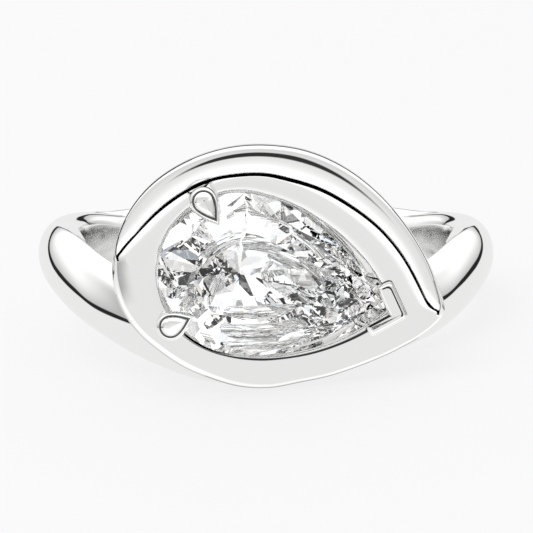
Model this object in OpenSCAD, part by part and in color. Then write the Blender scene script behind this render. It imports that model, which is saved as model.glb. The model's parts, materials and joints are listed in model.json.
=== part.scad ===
// Crossover ring. A rounded band sweeps up into a flat pear-shaped plate with a raised rim,
// and a claw basket in the plate's well holds a pear-cut stone.
// The ring lies on its side: +Z is up, and the head faces -Y. It is tipped up a little, because
// the head is deeper than the back of the band.
// The origin is the centre of the finger hole.

/* [Band] */
// Diameter of the finger hole
bore_d = 16.5; // [16:0.1:17.5]
// Thickness of the band at the back
band_t = 1.8; // [1.6:0.05:2]
// Width of the band at the back
band_w = 3.1; // [2.8:0.1:3.3]

/* [Head] */
// Height of the flat plate's face above the finger
plate_rise = 3.05; // [2.9:0.05:3.3]
// Height of the raised rim above the plate
rim_h = 0.6; // [0.3:0.05:0.8]

/* [Stone] */
// Length of the stone
stone_l = 10; // [9.5:0.05:10.2]
// Width of the stone
stone_w = 6.8; // [6.5:0.05:7]
// Depth of the stone below its girdle
pavilion = 2.95; // [2.7:0.05:3]
// Height of the stone above its girdle
crown = 1.05; // [0.8:0.05:1.2]

/* [Setting] */
// Thickness of the two round claws' posts
claw_d = 0.9; // [0.7:0.05:1]
// Width of the angled claw's arms
vee_w = 0.68; // [0.6:0.02:0.74]
// Clearance between the pieces
gap = 0.06; // [0.04:0.01:0.1]

/* [Hidden] */
$fn = 32;

bore_r = bore_d / 2;
// Length of the cut that makes the finger hole
bore_reach = 16;
face_h = bore_r + plate_rise;
girdle_h = face_h + 0.3;
girdle_t = 0.14;
table_h = girdle_h + girdle_t + crown;
culet_h = girdle_h - pavilion;

// Centre of the stone's round end, seen from the front: across, up
stone_at = [-1.15, -0.24];
// Turn of the stone's point below the level
stone_turn = 12;

// The band's sections, by the angle round the finger from the front, left is negative:
// [angle, height of the section's middle, half width, outer radius]
ANGLE = 0;
MIDDLE = 1;
HALF = 2;
OUTER = 3;
side_r = bore_r + band_t;
back_half = band_w / 2;
band_rows = [
    [-180, 0, back_half, side_r],
    [-140, 0, back_half, side_r],
    [-110, 0, 1.42, side_r],
    [-90, -0.1, 1.32, side_r],
    [-75, -0.35, 1.55, side_r],
    [-62, -0.85, 1.72, side_r + 0.05],
    [-48, -1.65, 1.7, side_r + 0.15],
    [-32, -2.6, 1.7, side_r + 0.35],
    [-15, -3.3, 1.75, side_r + 0.55],
    [0, -3.3, 1.7, side_r + 0.65],
    [15, -2.95, 1.6, side_r + 0.55],
    [32, -2.4, 1.6, side_r + 0.35],
    [48, -1.7, 1.7, side_r + 0.15],
    [62, -0.9, 1.75, side_r + 0.05],
    [75, -0.35, 1.58, side_r],
    [90, -0.1, 1.34, side_r],
    [110, 0, 1.42, side_r],
    [140, 0, back_half, side_r],
];

// The head's outline and raised rim, by the angle round the stone's round end:
// [angle, outer radius, width of the raised rim, share of its height, shelf outside it]
EDGE = 1;
RIM_WIDE = 2;
RIM_HIGH = 3;
SHELF = 4;
head_rows = [
    [-180, 5.37, 0.3, 0, 0.15],
    [-165, 5.24, 0.4, 0, 0.15],
    [-150, 5, 0.4, 0, 0.15],
    [-135, 4.75, 0.4, 0, 0.15],
    [-120, 4.66, 0.4, 0, 0.15],
    [-105, 4.67, 0.4, 0, 0.15],
    [-90, 4.8, 0.4, 0, 0.15],
    [-75, 5.04, 0.4, 0, 0.15],
    [-60, 5.38, 0.4, 0, 0.15],
    [-45, 6.05, 0.4, 0, 0.15],
    [-35, 6.69, 0.4, 0, 0.15],
    [-25, 7.58, 0.4, 0, 0.15],
    [-18, 8.34, 0.35, 0, 0.15],
    [-14, 8.78, 0.3, 0, 0.2],
    [-11.5, 8.99, 0.2, 0, 0.25],
    [-9, 8.87, 0.5, 0.75, 0.2],
    [-5, 8.53, 0.72, 0.95, 0.12],
    [0, 8.22, 0.82, 1, 0.08],
    [15, 7.39, 1.02, 1, 0.05],
    [30, 6.79, 1.24, 1, 0.05],
    [45, 6.29, 1.32, 1, 0.05],
    [60, 5.89, 1.34, 1, 0.05],
    [75, 5.55, 1.27, 1, 0.05],
    [90, 5.3, 1.17, 1, 0.05],
    [105, 5.05, 0.97, 1, 0.05],
    [120, 4.94, 0.89, 0.95, 0.05],
    [135, 5.01, 0.93, 0.9, 0.05],
    [150, 5.18, 0.86, 0.75, 0.05],
    [165, 5.31, 0.53, 0.5, 0.05],
    [173, 5.35, 0.2, 0.2, 0.1],
];
// The head's wall below its rim: [depth below the plate's face, distance in from the outline]
wall_rows = [[0.06, 0.04], [0.2, 0], [1.1, 0.08], [2.1, 0.4], [3.2, 0.9], [4.8, 1.35], [9.3, 1.5]];
// The well behind the stone: [height, share of the stone's outline, distance outside that]
seat_h = bore_r + 0.15;
well_rows = [
    [face_h + 0.2, 1, 0.35],
    [face_h - 0.1, 1, 0.1],
    [face_h - 1, 1, 0.1],
    [seat_h, 0.84, 0],
    [2, 0.84, 0],
];

// The setting's rail, a pear-shaped band low in the well
rail_low = seat_h + 0.35;
rail_high = seat_h + 1;
rail_t = 0.55;

// Round claws: [angle and distance of the bulb, angle and distance of the tip], round the
// stone's round end
BULB_TURN = 0;
BULB = 1;
TIP_TURN = 2;
TIP = 3;
claws = [[115.6, 3.4, 111, 2.25], [-142.5, 3.6, -137, 2.58]];
bulb_r = 0.62;
bulb_h = girdle_h + 0.25;
tip_r = 0.12;
tip_h = table_h - 0.16;
foot = 2.75;

// Angled claw over the stone's point: its corner, and its arms as
// [direction seen from the front, length, side that faces the stone]
TURN = 0;
LENGTH = 1;
SIDE = 2;
vee_corner = [-14, stone_l - stone_w / 2 + 0.84];
vee_arms = [[114.7, 1.62, 1], [214.4, 1.5, -1]];
vee_top = girdle_h + 0.48;
vee_bevel = 0.18;
vee_lean = 1;
// Room in the plate past the upper arm's end
vee_room = 0.35;

// The stone's facets: angles of the main facets from its point, and of the edges between them
mains = [0, 36, 90, 135, 180, 225, 270, 324];
betweens = [16, 62, 112, 157.5, 202.5, 248, 298, 344];
// Rings of corners: share of the outline and height
table_share = 0.56;
star_share = 0.79;
star_h = girdle_h + girdle_t + 0.61 * crown;
lower_share = 0.25;
lower_h = culet_h + 0.23 * pavilion;

// Value of one column at an angle, on a smooth closed curve through the rows
function turns(rows, i) = floor(i / len(rows));
function row(rows, i) = rows[i - turns(rows, i) * len(rows)];
function at(rows, i) = row(rows, i)[ANGLE] + 360 * turns(rows, i);
function slope(rows, i, col) =
    (row(rows, i + 1)[col] - row(rows, i - 1)[col]) / (at(rows, i + 1) - at(rows, i - 1));
function row_before(rows, a) = max([for (i = [0 : len(rows) - 1]) if (rows[i][ANGLE] <= a) i]);
function smooth(rows, a, col) =
    let (
        i = row_before(rows, a),
        w = at(rows, i + 1) - at(rows, i),
        t = (a - at(rows, i)) / w,
        v0 = row(rows, i)[col],
        v1 = row(rows, i + 1)[col],
        m0 = w * slope(rows, i, col),
        m1 = w * slope(rows, i + 1, col)
    )
    v0 + t * (m0 + t * (3 * (v1 - v0) - 2 * m0 - m1 + t * (2 * (v0 - v1) + m0 + m1)));

// A point of the head, from its angle and distance round the stone's round end and its height
// above the middle of the finger hole
function head_point(a, r, h) = [stone_at[0] + r * cos(a), -h, stone_at[1] + r * sin(a)];

// Distance from the round end's centre to a pear outline of a half circle and two flank arcs
function pear_r(a, length, width) =
    let (
        r = width / 2,
        point = length - r,
        flank = (point * point + r * r) / (2 * r),
        off = flank - r,
        s = abs(sin(a + stone_turn)),
        c = cos(a + stone_turn)
    )
    c < 0 ? r : sqrt(flank * flank - off * off * c * c) - off * s;
function stone_r(a, share = 1, grow = 0) =
    pear_r(a, share * stone_l + 2 * grow, share * stone_w + 2 * grow);

// Angles round the head, closer at the point and at the ends of the raised rim
head_angles = concat(
    [for (a = [-180 : 5 : -25]) a],
    [for (a = [-22 : 2 : 2]) a],
    [for (a = [5 : 5 : 150]) a],
    [for (a = [154 : 4 : 178]) a]
);
band_angles = concat(
    [for (a = [-180 : 6 : -96]) a],
    [for (a = [-90 : 4 : 90]) a],
    [for (a = [96 : 6 : 174]) a]
);

// Walls between loops of points that follow each other, closed by a flat loop at each end
module stack(loops) {
    n = len(loops[0]);
    last = len(loops) - 1;
    polyhedron(
        points = [for (loop = loops) each loop],
        faces = concat(
            [
                for (k = [0 : last - 1], i = [0 : n - 1])
                    let (j = (i + 1) % n, a = k * n, b = a + n)
                    each [[a + i, b + j, b + i], [a + i, a + j, b + j]]
            ],
            [[for (i = [n - 1 : -1 : 0]) i]],
            [[for (i = [0 : n - 1]) last * n + i]]
        )
    );
}

// The same, with the last loop joined to the first
module ring(loops) {
    n = len(loops[0]);
    m = len(loops);
    polyhedron(
        points = [for (loop = loops) each loop],
        faces = [
            for (k = [0 : m - 1], i = [0 : n - 1])
                let (j = (i + 1) % n, a = k * n, b = ((k + 1) % m) * n)
                each [[a + i, b + j, b + i], [a + i, a + j, b + j]]
        ]
    );
}

// Ellipse of the band at an angle round the finger. The finger hole cuts a flat along its inside.
SECTION_SIDES = 20;
function band_loop(a) =
    let (
        outer = smooth(band_rows, a, OUTER),
        deep = (outer - bore_r) / 1.83,
        half = smooth(band_rows, a, HALF),
        middle = smooth(band_rows, a, MIDDLE)
    )
    [
        for (i = [0 : SECTION_SIDES - 1])
            let (u = 360 * i / SECTION_SIDES, r = outer - deep + deep * cos(u))
            [r * sin(a), -r * cos(a), middle + half * sin(u)]
    ];

// Loops of the head, from the plate's middle over the raised rim and down the wall
DOME_STEPS = 8;
function rim_loop(k) = [
    for (a = head_angles)
        let (
            wide = max(0.02, smooth(head_rows, a, RIM_WIDE)),
            high = rim_h * max(0, smooth(head_rows, a, RIM_HIGH)),
            inner = smooth(head_rows, a, EDGE) - smooth(head_rows, a, SHELF) - wide,
            u = 180 * k / DOME_STEPS
        )
        head_point(a, inner + wide * (1 - cos(u)) / 2, face_h + high * pow(max(0, sin(u)), 0.7))
];
function wall_loop(w) = [for (a = head_angles) head_point(a, smooth(head_rows, a, EDGE) - w[1], face_h - w[0])];
function share_loop(share, grow, h) = [for (a = head_angles) head_point(a, stone_r(a, share, grow), h)];

module head() {
    stack(concat(
        [share_loop(0.8, 0, face_h)],
        [for (k = [0 : DOME_STEPS]) rim_loop(k)],
        [for (w = wall_rows) wall_loop(w)]
    ));
}

module well() {
    stack([for (w = well_rows) share_loop(w[1], w[2], w[0])]);
}

// Places a shape drawn as seen from the front, with its height above the finger's middle as Z
module on_head() {
    translate([stone_at[0], 0, stone_at[1]]) rotate([90, 0, 0]) children();
}
function across(a, r, h) = [r * cos(a), r * sin(a), h];

// Round bar between two points, longer at both ends by a clearance
module bar(p, q, r, grow = 0) {
    run = q - p;
    translate(p) rotate([0, acos(run[2] / norm(run)), atan2(run[1], run[0])])
        translate([0, 0, -grow]) cylinder(r = r + grow, h = norm(run) + 2 * grow);
}

// A round claw's post, from the rail to the bulb
module post(claw, grow = 0) {
    on_head() bar(
        across(claw[BULB_TURN], foot, rail_low + claw_d / 4),
        across(claw[BULB_TURN], claw[BULB], bulb_h),
        claw_d / 2,
        grow
    );
}

// A round claw's drop-shaped head, from its bulb to its tip on the stone
module claw_head(claw) {
    on_head() hull() {
        translate(across(claw[BULB_TURN], claw[BULB], bulb_h)) sphere(bulb_r);
        translate(across(claw[TIP_TURN], claw[TIP], tip_h)) sphere(tip_r);
    }
}

// A length of one arm of the angled claw, from one height to another, set in from its outer edges
module slab(arm, inset, low, high, grow) {
    wide = vee_w - inset + 2 * grow;
    rotate(arm[TURN])
        translate([inset - grow, arm[SIDE] > 0 ? inset - grow : -vee_w - grow, low - grow])
            cube([arm[LENGTH] - inset + 2 * grow, wide, high - low + 2 * grow]);
}

// One arm of the angled claw. It leans in to the rail below, and its top has a bevelled edge.
module vee_arm(arm, grow = 0) {
    lean = across(180 - stone_turn, vee_lean, 0);
    on_head() translate(across(vee_corner[0], vee_corner[1], 0)) hull() {
        slab(arm, vee_bevel, vee_top - 0.1, vee_top, grow);
        slab(arm, 0, girdle_h - 0.6, vee_top - vee_bevel, grow);
        translate(lean) slab(arm, 0, rail_low, rail_high, grow);
    }
}

// Room for the stone, from its table down to its point
stone_angles = [for (i = [-15 : 16]) 180 * sign(i) * pow(abs(i) / 16, 1.5) - stone_turn];
function stone_loop(share, h) = [for (a = stone_angles) head_point(a, stone_r(a, share, gap), h)];
module stone_space() {
    stack([
        stone_loop(table_share, table_h + gap),
        stone_loop(star_share, star_h + gap),
        stone_loop(1, girdle_h + girdle_t + gap / 2),
        stone_loop(1, girdle_h - gap / 2),
        stone_loop(lower_share, lower_h - gap),
        stone_loop(0.01, culet_h - gap)
    ]);
}

module rail() {
    fit = [for (w = well_rows) if (w[0] < face_h - 0.5) [w[0], w[1]]];
    low = lookup(rail_low, fit);
    high = lookup(rail_high, fit);
    difference() {
        stack([share_loop(high, -gap, rail_high), share_loop(low, -gap, rail_low)]);
        stack([
            share_loop(high, -gap - rail_t, rail_high + gap),
            share_loop(low, -gap - rail_t, rail_low - gap)
        ]);
    }
}

// The casting: the shank and the head round the finger hole, then the well, then room for the
// setting's claws
module band() {
    color("gainsboro") resting() difference() {
        difference() {
            difference() {
                difference() {
                    union() {
                        ring([for (a = band_angles) band_loop(a)]);
                        head();
                    }
                    cylinder(r = bore_r, h = bore_reach, center = true, $fn = 96);
                }
                well();
            }
            for (claw = claws) post(claw, gap);
        }
        for (arm = vee_arms) vee_arm(arm + [0, arm[SIDE] > 0 ? vee_room : 0, 0], gap);
    }
}

module setting() {
    color("silver") resting() difference() {
        union() {
            rail();
            for (claw = claws) {
                post(claw);
                claw_head(claw);
            }
            for (arm = vee_arms) vee_arm(arm);
        }
        stone_space();
    }
}

// Ring of the stone's corners
function corners(angles, share, h) = [
    for (turn = angles)
        let (a = turn - stone_turn)
        head_point(a, stone_r(a, share), h)
];

// Pear-cut stone: a table, eight star facets, eight main facets and the girdle's facets above,
// and the girdle's facets and eight main facets below
module stone() {
    girdle = [
        for (i = [0 : 7])
            let (next = i < 7 ? mains[i + 1] : 360)
            each [mains[i], (mains[i] + betweens[i]) / 2, betweens[i], (betweens[i] + next) / 2]
    ];
    n = len(girdle);
    star = 8;
    upper = 16;
    under = upper + n;
    low = under + n;
    culet = low + 8;
    color("aliceblue") resting() polyhedron(
        points = concat(
            corners(mains, table_share, table_h),
            corners(betweens, star_share, star_h),
            corners(girdle, 1, girdle_h + girdle_t),
            corners(girdle, 1, girdle_h),
            corners(betweens, lower_share, lower_h),
            [head_point(0, 0, culet_h)]
        ),
        faces = concat(
            [[for (i = [7 : -1 : 0]) i]],
            [
                for (i = [0 : 7])
                    let (before = (i + 7) % 8, after = (i + 1) % 8, main = 4 * i)
                    each [
                        [after, star + i, i],
                        [i, star + i, upper + main],
                        [i, upper + main, star + before],
                        [under + main, low + i, culet],
                        [under + main, culet, low + before]
                    ]
            ],
            [
                for (j = [0 : n - 1])
                    let (k = (j + 1) % n, i = floor(j / 4))
                    each [
                        [star + i, upper + k, upper + j],
                        [upper + j, upper + k, under + k, under + j],
                        [under + j, under + k, low + i]
                    ]
            ]
        )
    );
}

// Lying free, the ring rolls a little to the right, and its tilt brings the lowest points of its
// head and of the back of its band to one level. The tilt is found by halving.
rest_roll = 5.1;
back_points = [for (a = band_angles) if (abs(a) > 100) each band_loop(a)];
head_points = [for (w = wall_rows) each wall_loop(w)];
function lowest(points, tilt) = min([
    for (p = points)
        (p[2] * cos(rest_roll) - p[0] * sin(rest_roll)) * cos(tilt) - p[1] * sin(tilt)
]);
function level(low, high, steps) =
    let (mid = (low + high) / 2)
    steps == 0 ? mid
    : lowest(head_points, mid) < lowest(back_points, mid) ? level(mid, high, steps - 1)
    : level(low, mid, steps - 1);
rest_tilt = level(0, 30, 16);

module resting() {
    rotate([-rest_tilt, 0, 0]) rotate([0, rest_roll, 0]) children();
}

band();
setting();
stone();
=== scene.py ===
import json
import math

import bmesh
import bpy
import numpy as np
from bpy.props import FloatProperty, FloatVectorProperty, PointerProperty
from mathutils import Matrix, Vector


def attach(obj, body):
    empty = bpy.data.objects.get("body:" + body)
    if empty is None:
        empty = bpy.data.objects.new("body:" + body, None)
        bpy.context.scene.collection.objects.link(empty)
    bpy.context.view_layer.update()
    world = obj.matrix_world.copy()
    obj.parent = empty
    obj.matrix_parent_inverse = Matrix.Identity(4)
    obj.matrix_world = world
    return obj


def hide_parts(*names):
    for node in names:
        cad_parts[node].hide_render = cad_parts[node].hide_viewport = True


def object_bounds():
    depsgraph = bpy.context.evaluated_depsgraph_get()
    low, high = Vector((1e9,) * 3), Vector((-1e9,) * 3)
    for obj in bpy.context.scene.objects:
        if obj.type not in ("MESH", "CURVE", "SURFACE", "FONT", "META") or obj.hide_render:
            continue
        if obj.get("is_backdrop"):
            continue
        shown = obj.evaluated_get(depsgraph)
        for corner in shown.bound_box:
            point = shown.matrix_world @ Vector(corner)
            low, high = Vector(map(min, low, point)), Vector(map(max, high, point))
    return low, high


bl_info = {
    "name": "Pear-cut stone ring",
    "version": (1, 0, 0),
    "blender": (4, 5, 0),
    "location": "View3D > Sidebar > Ring",
    "description": "Builds a crossover ring with a pear-cut stone, and the stage it lies on",
    "category": "Object",
}

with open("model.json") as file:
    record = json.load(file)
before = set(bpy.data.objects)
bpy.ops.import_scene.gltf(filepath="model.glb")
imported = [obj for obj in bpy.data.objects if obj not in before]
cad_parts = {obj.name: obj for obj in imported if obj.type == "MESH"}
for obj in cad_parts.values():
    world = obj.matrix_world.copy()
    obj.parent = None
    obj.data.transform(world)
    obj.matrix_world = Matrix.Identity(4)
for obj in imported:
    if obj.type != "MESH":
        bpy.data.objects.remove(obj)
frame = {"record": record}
CAD_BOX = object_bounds()

# The pieces are modelled in millimetres with the finger hole upright and the head towards -Y.
# Then they are laid down as the finger hole's axis lies, and brought to metres.
BORE = next(m for m in frame["record"]["mounts"] if m["name"] == "finger_hole")
ROLL = math.asin(BORE["axis"][0])
TILT = math.atan2(BORE["axis"][1], BORE["axis"][2])
LAID = Matrix.Rotation(-TILT, 4, "X") @ Matrix.Rotation(ROLL, 4, "Y")
MM = 0.001

BORE_R = BORE["dims"]["r_mm"]
# Heights over the finger hole's axis: the plate's face and the stone's girdle
FACE_H = BORE_R + 3.05
GIRDLE_H = FACE_H + 0.3
# The stone's round end, across and up from the finger hole's middle, and the turn of its point
STONE_AT = (-1.15, -0.24)
STONE_TURN = -12
# The head's own frame lies in the plate, with its middle at the stone's round end, and comes to
# face -Y
UPRIGHT = Matrix.Rotation(math.radians(90), 4, "X")
HEAD = Matrix.Translation((STONE_AT[0], 0, STONE_AT[1])) @ UPRIGHT

# The band's sections, by the angle round the finger from the front, left is negative
ANGLE, MIDDLE, HALF, THICK = range(4)
BAND_ROWS = [
    # angle, height of the middle, half width, thickness
    (-180, 0, 1.55, 1.8),
    (-140, 0, 1.55, 1.8),
    (-110, 0, 1.42, 1.8),
    (-90, -0.1, 1.32, 1.8),
    (-75, -0.35, 1.55, 1.8),
    (-62, -0.85, 1.72, 1.85),
    (-48, -1.65, 1.7, 1.95),
    (-32, -2.6, 1.7, 2.15),
    (-15, -3.3, 1.75, 2.35),
    (0, -3.3, 1.7, 2.45),
    (15, -2.95, 1.6, 2.35),
    (32, -2.4, 1.6, 2.15),
    (48, -1.7, 1.7, 1.95),
    (62, -0.9, 1.75, 1.85),
    (75, -0.35, 1.58, 1.8),
    (90, -0.1, 1.34, 1.8),
    (110, 0, 1.42, 1.8),
    (140, 0, 1.55, 1.8),
]
# Its half sections, as shares of its thickness and half width. The outer curve, where the edge
# is tight or the top is flat and where it is rounded: how far round it goes, its depth, its width
OUTER_CURVE, ROUNDED_CURVE = (67, 0.546, 1.066), (128, 0.546, 1)
# The corner after it: its middle, its radii, how far round it turns, in how many steps
CORNER_START = 55
TIGHT_CORNER = ((0.589, 0.852), (0.14, 0.156), 67, 7)
FLAT_CORNER = ((0.612, 0.8875), (0.1, 0.1125), 35, 4)
# On from there to the finger hole: bend and rest of the tight section, the flat one, and bend and
# half width of the rounded one in the finger hole
TIGHT_BEND, TIGHT_BORE = (0.03, 0.6), [(0, 0.44), (0, 0.33), (0, 0.22), (0, 0.11)]
FLAT_TOP = [
    (0.5, 1), (0.38, 0.998), (0.28, 0.99), (0.19, 0.972), (0.12, 0.935), (0.06, 0.87),
    (0.02, 0.77), (0, 0.64), (0, 0.4), (0, 0.2),
]
ROUNDED_BEND, ROUNDED_BORE = (0, 0.64), 0.52
# Where one section changes into the next, by the angle round the finger to either side
TIGHT_TO_FLAT, FLAT_TO_ROUNDED = (64, 82), (112, 152)

# The head's outline and its raised rim, by the angle round the stone's round end
EDGE, WIDE, HIGH, SHELF, CURVE = range(1, 6)
HEAD_ROWS = [
    # angle, outer radius, width of the rim, share of its height, eased edge outside it,
    # reach of the plate's hollow curve up to the rim
    (-180, 5.37, 0.4, 0, 0.24, 0.3),
    (-165, 5.24, 0.4, 0, 0.27, 0.3),
    (-150, 5, 0.4, 0, 0.27, 0.3),
    (-135, 4.75, 0.4, 0, 0.27, 0.3),
    (-120, 4.66, 0.4, 0, 0.27, 0.3),
    (-105, 4.67, 0.4, 0, 0.25, 0.3),
    (-90, 4.85, 0.4, 0, 0.22, 0.3),
    (-75, 5.08, 0.4, 0, 0.18, 0.3),
    (-60, 5.38, 0.4, 0, 0.18, 0.3),
    (-45, 6.05, 0.4, 0, 0.18, 0.3),
    (-35, 6.69, 0.4, 0, 0.18, 0.3),
    (-25, 7.58, 0.4, 0, 0.18, 0.3),
    (-18, 8.34, 0.35, 0, 0.18, 0.3),
    (-14, 8.75, 0.3, 0, 0.2, 0.3),
    (-12.2, 8.88, 0.12, 0, 0.24, 0.3),
    (-11.2, 8.9, 0.14, 0.2, 0.26, 0.3),
    (-10.7, 8.89, 0.36, 0.6, 0.25, 0.32),
    (-10, 8.86, 0.54, 0.82, 0.21, 0.35),
    (-8.5, 8.78, 0.68, 0.93, 0.17, 0.4),
    (-5, 8.53, 0.79, 1, 0.12, 0.45),
    (0, 8.22, 0.9, 1, 0.07, 0.45),
    (15, 7.39, 1.08, 1, 0.02, 0.45),
    (30, 6.79, 1.34, 1, 0.01, 0.32),
    (45, 6.33, 1.47, 1, 0.01, 0.2),
    (60, 5.95, 1.53, 1, 0.01, 0.06),
    (75, 5.61, 1.4, 1, 0.01, 0.04),
    (90, 5.39, 1.34, 1, 0.01, 0.04),
    (105, 5.26, 1.24, 1, 0.01, 0.12),
    (120, 5.23, 1.21, 0.98, 0.01, 0.2),
    (135, 5.27, 1.16, 0.95, 0.01, 0.3),
    (150, 5.31, 0.97, 0.92, 0.01, 0.36),
    (160, 5.33, 0.72, 0.86, 0.02, 0.36),
    (166, 5.34, 0.49, 0.74, 0.03, 0.34),
    (170, 5.34, 0.29, 0.55, 0.06, 0.32),
    (172.6, 5.355, 0.13, 0.3, 0.12, 0.3),
    (174.6, 5.36, 0.1, 0, 0.2, 0.3),
]
# Across the raised rim from its foot: share of its width, how it slopes there
RIM_SLOPES = [
    (0, 76), (0.09, 70), (0.13, 42), (0.2, 17), (0.3, 10), (0.44, 5), (0.54, 2.5), (0.62, 0.3),
    (0.71, -3.8), (0.79, -7.5), (0.835, -11), (0.88, -19), (0.925, -32), (0.953, -48),
    (0.966, -66), (0.972, -82), (0.976, -84.9), (1, -84.9),
]
# More loops where it turns over at its outer edge
RIM_BENDS = [0.965, 0.971, 0.983, 0.992]
# Share of the width that the steep crevice at its foot takes, which is painted dark as a painted
# # reflection line, and how steeply the plate curves up
CREVICE, RISE = 0.128, 0.2
# Down the outer edge: share of the eased edge's width, depth
EDGE_PROFILE = [
    (0.8, 0.007), (0.62, 0.022), (0.45, 0.045), (0.3, 0.075), (0.17, 0.115), (0.08, 0.17),
    (0.02, 0.24), (0, 0.35),
]
# How far the head stays outside the finger hole's wall, which is the shank's
BORE_ROOM = 0.02
# The head's wall below its edge: depth below the plate's face, distance in from the outline
WALL_ROWS = [
    (0.7, 0.02), (1.1, 0.08), (1.6, 0.22), (2.1, 0.4), (2.6, 0.64), (3.2, 0.9), (4, 1.16),
    (4.8, 1.32), (5.3, 1.38),
]
# The well behind the stone, from the finger hole up: depth below the plate's face, share of the
# stone's outline, distance outside that
WELL_ROWS = [
    (2.9, 0.84, 0), (2.7, 0.85, 0.01), (1.2, 0.98, 0.02), (1, 1, 0.025), (0.6, 1, 0.025),
    (0.08, 1, 0.025), (0.06, 1, 0.03), (0.035, 1, 0.045), (0.012, 1, 0.075), (0, 1, 0.12),
]

# Painted dark reflection lines and painted shade on the casting, from 0 to 1 as black, by the angle
# round the head.
# Least width of the line at the rim's foot, and darkness of the line down the rim's outside
FOOT_LINE = [
    (-11.2, 0.45), (-10.7, 0.36), (-10, 0.24), (-8.5, 0.16), (-6, 0), (150, 0), (162, 0.13),
]
SIDE_LINE = [(100, 0.7), (144, 1)]
# The painted reflection line in the well's mouth, the painted shade beside the rim's left end and
# that on the eased edge
MOUTH_LINE = [(-136, 0), (-130, 1), (-106, 1), (-92, 0)]
END_SHADE, END_WIDE, END_FADE = [(170, 0), (174, 0.45), (187, 0.45), (197, 0)], 0.6, 1.3
BEVEL_SHADE = [(-120, 0), (-95, 0.12), (-60, 0.12), (-40, 0)]
# The painted shade under the eased edge, and the painted shade that dulls the finger hole
UNDER_SHADE, BORE_SHADE = 0.4, 0.13

# Round claws: angle and distance of the bulb, angle and distance of the tip
CLAWS = [(115.6, 3.4, 111, 2.25), (-142.5, 3.6, -137, 2.58)]
# Height of their bulbs over the girdle, and distance and height of their posts' feet
BULB_RISE, POST_AT, POST_RISE = 0.52, 2.75, 0.5
# Round claws' heads, from below: share of the drop's outline, height from the bulb's middle
DROP_ROWS = [
    (0.5, -0.56), (0.78, -0.45), (0.93, -0.27), (0.99, -0.1), (1, 0.02), (0.985, 0.14),
    (0.95, 0.25), (0.9, 0.33), (0.84, 0.385), (0.785, 0.4), (0.76, 0.37), (0.71, 0.37),
    (0.685, 0.405), (0.64, 0.47), (0.57, 0.53), (0.47, 0.58), (0.34, 0.615), (0.18, 0.635),
    (0.05, 0.64),
]
# Loops of their fine groove, and the darkness of the painted reflection line in it
DROP_GROOVE, PAINTED_GROOVE_LINE = (9, 10, 11), 0.8
# How far their points pass the tips, how they taper, and how they slope up to the point
DROP_PAST, DROP_TAPER, DROP_SLOPE = 0.1, (1.7, 1.1), 0.24
# Angled claw over the stone's point: outer corner, and its arms' directions, lengths, turn to
# their inner side, and widths
VEE_AT = (-14.4, 7.375)
VEE_ARMS = [(114.7, 1.69, 90, 0.7), (208.6, 1.75, -90, 0.5)]
# Roundings of its corners from the outer one, and its eased edge: distance in, depth
VEE_ROUNDS = [0.16, 0.2, 0.08, 0.05, 0.06, 0.16]
VEE_EDGE = [
    (0, 0.2), (0.02, 0.1), (0.055, 0.04), (0.1, 0.01), (0.115, 0), (0.13, 0), (0.19, 0),
    (0.205, 0),
]
# Its top over the girdle, where it bends below the girdle, and its foot over the finger hole
VEE_TOP, VEE_BEND, VEE_FOOT = 0.48, 0.6, 0.5
# Its hole in the band: share of the usual clearance, and room past the upper arm's end
VEE_CLEARANCE, VEE_ROOM = 0.25, 0.02
# Its painted dark reflection lines, by loop and place round it: along the upper arm, and inside the
# lower arm
VEE_LINES = [((7,), range(1, 11)), ((3, 4, 5), range(18, 21))]
VEE_DARK = 0.96
# Section of the rail low in the well: height over the finger hole, distance outside its outline,
# which is a share of the stone's that grows with the height
RAIL_ROWS = [
    (0.45, -0.06), (0.5, -0.01), (0.95, -0.01), (1, -0.06), (1, -0.56), (0.95, -0.61),
    (0.5, -0.61), (0.45, -0.56),
]
RAIL_SHARE, RAIL_GROWTH = 0.84, 0.11
# The metal is shaded smooth where its faces meet at less than this
SMOOTH_ANGLE = math.radians(38)

# Sides of the stone's blank, and how much closer together they are towards its point
BLANK_SIDES, BLANK_CROWDING = 72, 1.4
# The stone's facets, by the angle of each round the stone from its point
MAIN_FACETS = [0, 33, 72, 113, 158, 203, 247, 290, 327]
STAR_FACETS = [16, 52, 92, 135, 180, 225, 268, 308, 344]
EDGE_FACETS = [6, 24, 42, 61, 83, 102, 124, 147, 169, 191, 214, 236, 258, 279, 301, 317, 336, 354]
# Where the star facets start, as a share of the table's reach, and how steep they are
STAR_AT, STAR_SLOPE = 0.94, 0.42
# Where the pavilion's facets meet: along and across from the round end's centre
CULET = (-0.03, -0.35)
# Pavilion facets from the girdle: angle round the stone, slope, how far below the girdle it starts
PAVILION_FACETS = [
    (3, 45, 0), (-3, 44, 0), (8, 42, 0), (-9, 43, 0), (14, 46, 0), (-15, 41, 0), (20, 40, 0),
    (-21, 45, 0), (26, 44, 0), (-28, 40.5, 0), (35, 41, 0), (-37, 44, 0), (42, 43.5, 0),
    (-44, 41.5, 0), (5, 33, 0.1), (-6, 34, 0.12), (11, 37, 0.1), (-11, 36, 0.12),
    (17, 38, 0.15), (-18, 37, 0.18), (23, 37, 0.2), (-24, 38, 0.2), (12, 35, 0.2),
    (-12, 34.5, 0.2), (18, 36, 0.3), (-19, 35.5, 0.3), (30, 37.5, 0.35), (-31, 37, 0.35),
    (52, 45, 0), (-52, 45.5, 0), (61, 43, 0), (-59, 42.8, 0), (83, 42.5, 0), (-81, 45, 0),
    (92, 45, 0), (-91, 46.5, 0), (102, 43, 0), (-102, 45, 0), (124, 42.5, 0),
    (-124, 43.5, 0), (135, 45, 0), (-135, 45.5, 0), (147, 43, 0), (-146, 42.6, 0),
    (169, 42.7, 0), (-169, 43, 0), (180, 46, 0),
]

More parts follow.
